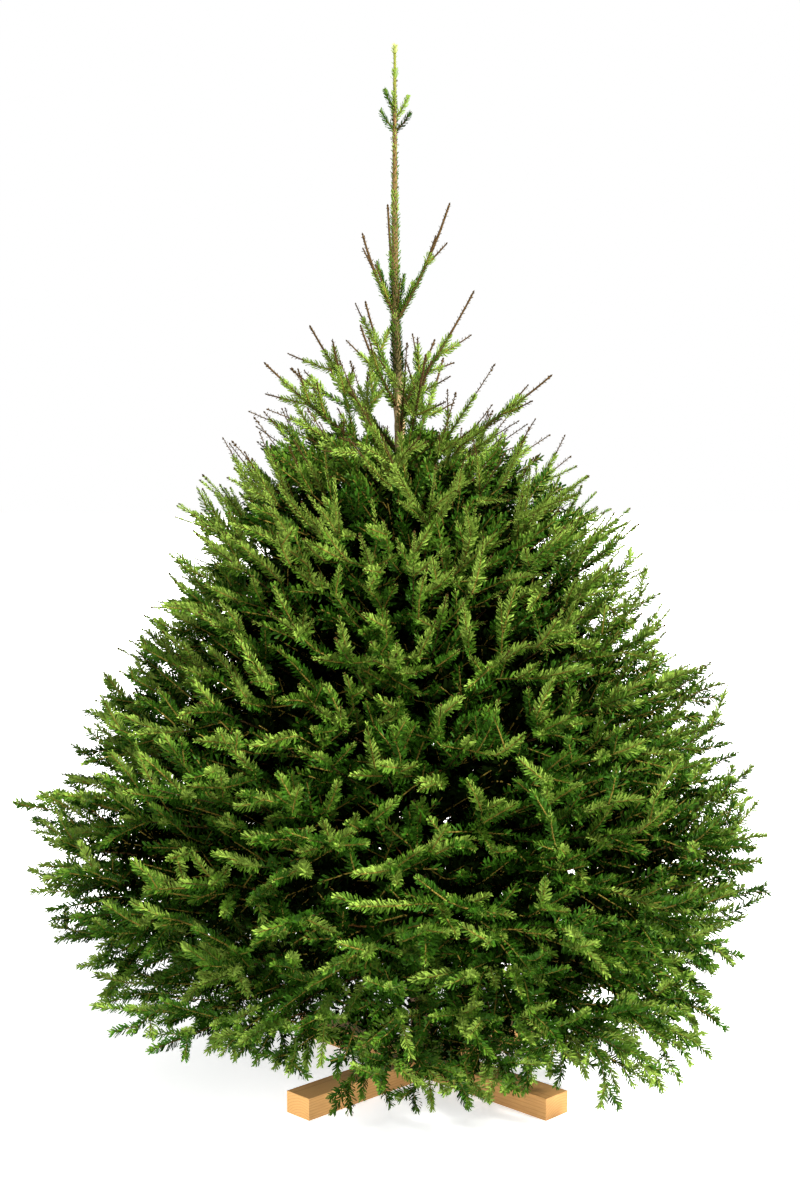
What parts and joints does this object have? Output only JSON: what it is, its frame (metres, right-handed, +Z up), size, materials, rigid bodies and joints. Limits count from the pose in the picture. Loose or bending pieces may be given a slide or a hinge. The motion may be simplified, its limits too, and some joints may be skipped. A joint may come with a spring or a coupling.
{
  "type": "christmas tree",
  "caption": "Cut spruce Christmas tree with a leaning tapered trunk, whorls of boughs under dense foliage masses and an open top, standing on a half-lapped wooden cross.",
  "frame": {"origin": "centre of the underside of the wooden cross, straight under the middle of the trunk's foot, on the floor", "axes": "+Z up along the tree, +X to the viewer's right and +Y away from the viewer when the tree is seen from its front; the beams of the cross run at 45 degrees to both"},
  "size_m": [1.4237, 1.4086, 1.95],
  "materials": {
    "stand_timber": "sawn, unfinished",
    "trunk_bark": "rough bark",
    "bough_bark": "rough bark",
    "needles": "satin leaf",
    "young_needles": "satin leaf"
  },
  "bodies": {
    "root": {"stand_beam_lower": "stand_timber", "stand_beam_upper": "stand_timber", "trunk": "trunk_bark", "bough_skirt_1": "bough_bark", "foliage_skirt_1": "needles", "bough_skirt_2": "bough_bark", "foliage_skirt_2": "needles", "bough_skirt_3": "bough_bark", "foliage_skirt_3": "needles", "bough_skirt_4": "bough_bark", "foliage_skirt_4": "needles", "bough_skirt_5": "bough_bark", "foliage_skirt_5": "needles", "bough_lower_1": "bough_bark", "foliage_lower_1": "needles", "bough_lower_2": "bough_bark", "foliage_lower_2": "needles", "bough_lower_3": "bough_bark", "foliage_lower_3": "needles", "bough_lower_4": "bough_bark", "foliage_lower_4": "needles", "bough_lower_5": "bough_bark", "foliage_lower_5": "needles", "bough_middle_1": "bough_bark", "foliage_middle_1": "needles", "bough_middle_2": "bough_bark", "foliage_middle_2": "needles", "bough_middle_3": "bough_bark", "foliage_middle_3": "needles", "bough_middle_4": "bough_bark", "foliage_middle_4": "needles", "bough_middle_5": "bough_bark", "foliage_middle_5": "needles", "bough_upper_1": "bough_bark", "foliage_upper_1": "needles", "bough_upper_2": "bough_bark", "foliage_upper_2": "needles", "bough_upper_3": "bough_bark", "foliage_upper_3": "needles", "bough_upper_4": "bough_bark", "foliage_upper_4": "needles", "bough_spire_1": "bough_bark", "foliage_spire_1": "young_needles", "bough_spire_2": "bough_bark", "foliage_spire_2": "young_needles", "bough_spire_3": "bough_bark", "foliage_spire_3": "young_needles", "bough_spire_4": "bough_bark", "foliage_spire_4": "young_needles", "bough_spire_5": "bough_bark", "foliage_spire_5": "young_needles", "shoot_crest_1": "young_needles", "shoot_crest_2": "young_needles", "shoot_crest_3": "young_needles", "shoot_crest_4": "young_needles", "shoot_crest_5": "young_needles", "shoot_crown_1": "young_needles", "shoot_crown_2": "young_needles", "shoot_crown_3": "young_needles", "leader_tuft": "young_needles"}
  },
  "joints": []
}
